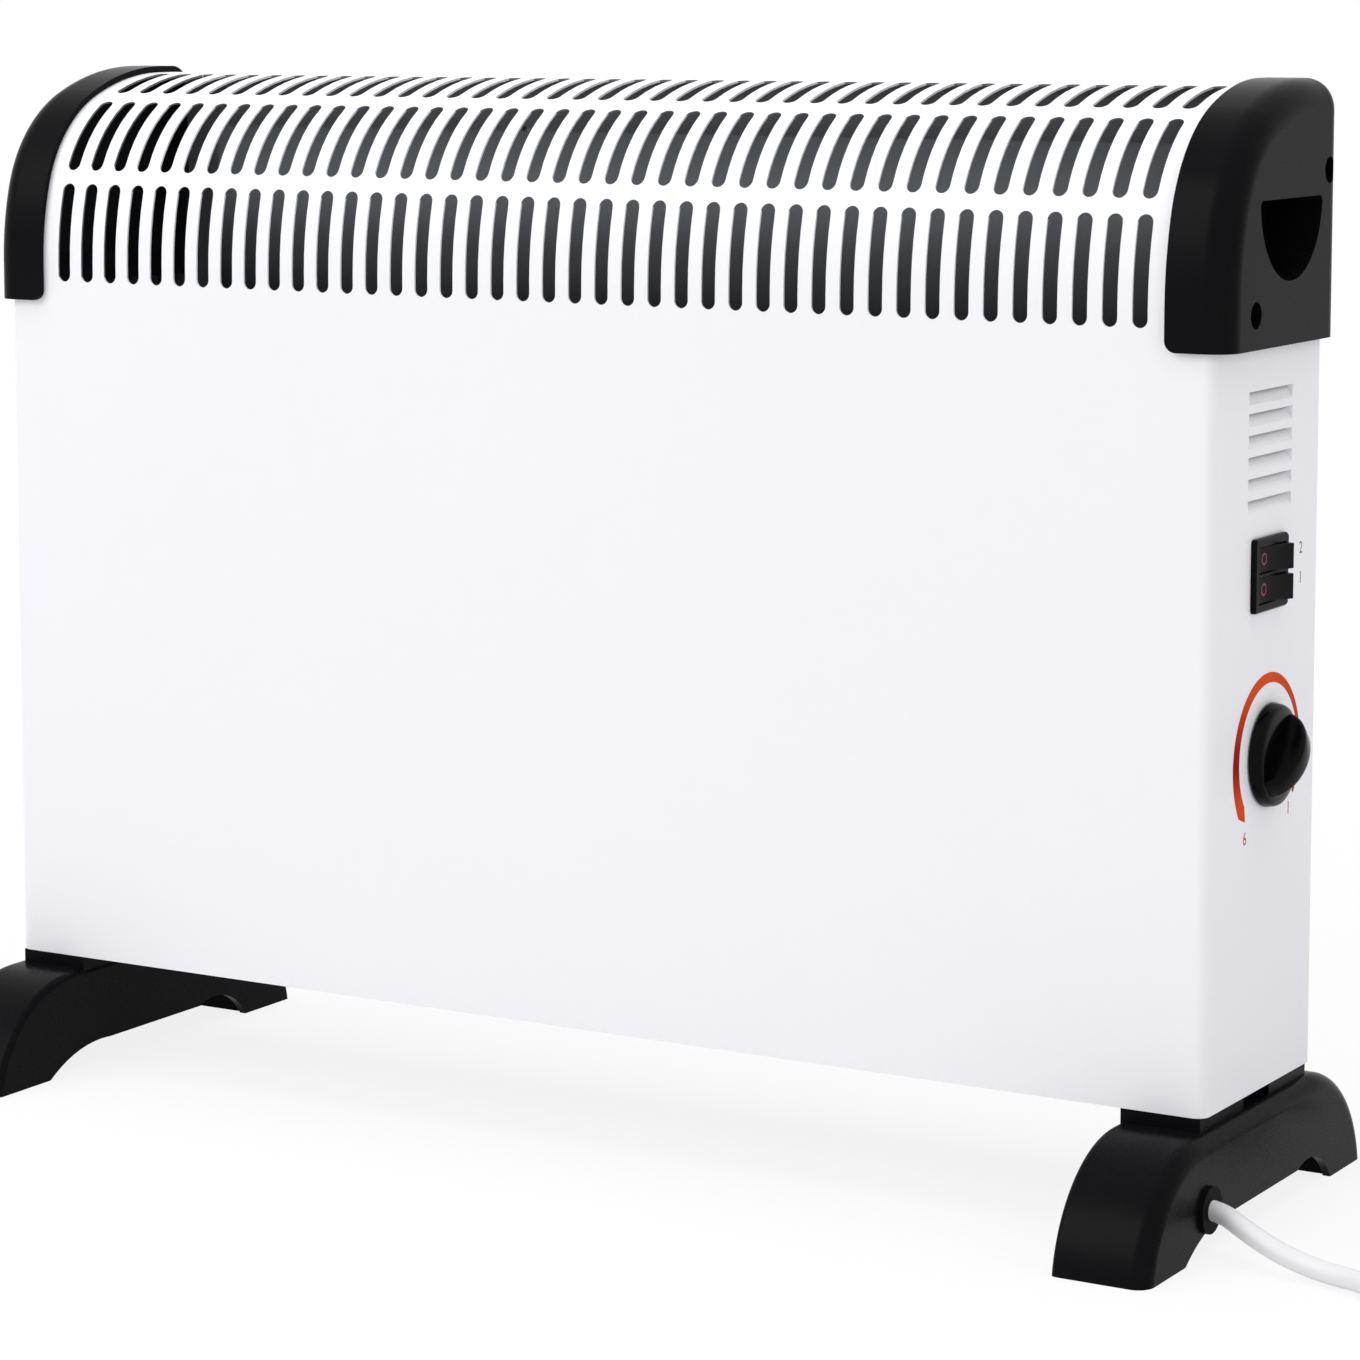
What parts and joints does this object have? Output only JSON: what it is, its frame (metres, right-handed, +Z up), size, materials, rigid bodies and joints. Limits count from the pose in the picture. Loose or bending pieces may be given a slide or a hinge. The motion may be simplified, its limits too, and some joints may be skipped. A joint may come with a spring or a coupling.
{
  "type": "convector heater",
  "caption": "Free-standing convector heater: white sheet steel body with a slotted curved top, black end caps with grips, arched feet, rocker switches, thermostat knob and mains lead.",
  "frame": {"origin": "on the floor between the two feet, under the middle of the body", "axes": "+X along the body towards the control end, +Y to the back, +Z up"},
  "size_m": [0.6746, 0.1928, 0.3859],
  "materials": {
    "white_steel": "white powder coat, fine satin texture",
    "zinc_steel": "zinc-plated sheet",
    "dark_steel": "heat-darkened sheet",
    "screw_steel": "plated screw steel",
    "black_plastic": "moulded, fine spark texture",
    "black_gloss": "moulded, polished",
    "pale_plastic": "moulded thermoset",
    "brass": "stamped",
    "mica": "pressed mica board",
    "heating_wire": "resistance wire",
    "white_cord": "soft sheath, satin",
    "wire_sleeve": "glass fibre sleeve",
    "tie": "plastic band",
    "nickel": "nickel plate"
  },
  "bodies": {
    "heater": {"front_shell": "white_steel", "back_panel": "white_steel", "back_panel_screws": "screw_steel", "bottom_plate": "zinc_steel", "right_end_cap": "black_plastic", "left_end_cap": "black_plastic", "right_end_bracket": "zinc_steel", "left_end_bracket": "zinc_steel", "end_cap_screws": "screw_steel", "right_foot": "black_plastic", "left_foot": "black_plastic", "foot_screws": "screw_steel", "switch_frame": "black_plastic", "switch_terminals": "brass", "thermostat_body": "pale_plastic", "thermostat_terminals": "brass", "thermostat_screws": "screw_steel", "element_rails": "zinc_steel", "mica_supports": "mica", "low_heating_coil": "heating_wire", "high_heating_coil": "heating_wire", "right_element_bracket": "zinc_steel", "left_element_bracket": "zinc_steel", "thermal_cutout": "pale_plastic", "front_heat_shield": "dark_steel", "rear_heat_shield": "dark_steel", "terminal_block": "pale_plastic", "terminal_screws": "brass", "supply_cable": "white_cord", "internal_wires": "wire_sleeve", "earth_screw": "brass", "cord_bush": "black_plastic", "power_cord": "white_cord", "power_cord_coil": "white_cord", "coil_tie": "tie", "power_cord_tail": "white_cord", "plug_body": "white_cord", "plug_pins": "nickel", "plug_earth_contacts": "nickel"},
    "upper_rocker": {"upper_rocker": "black_gloss"},
    "lower_rocker": {"lower_rocker": "black_gloss"},
    "thermostat_knob": {"thermostat_knob": "black_gloss", "thermostat_shaft": "brass"}
  },
  "joints": [
    {"name": "upper_rocker_tilt", "type": "hinge", "parent": "heater", "child": "upper_rocker", "pos_m": [0.2495, 0.0009, 0.2264], "axis": [0, 0, 1], "range_deg": [0, 25]},
    {"name": "lower_rocker_tilt", "type": "hinge", "parent": "heater", "child": "lower_rocker", "pos_m": [0.2495, 0.0009, 0.2161], "axis": [0, 0, 1], "range_deg": [0, 25]},
    {"name": "thermostat_turn", "type": "hinge", "parent": "heater", "child": "thermostat_knob", "pos_m": [0.25, 0.0038, 0.159], "axis": [1, 0, 0], "range_deg": [-258, 0]}
  ]
}
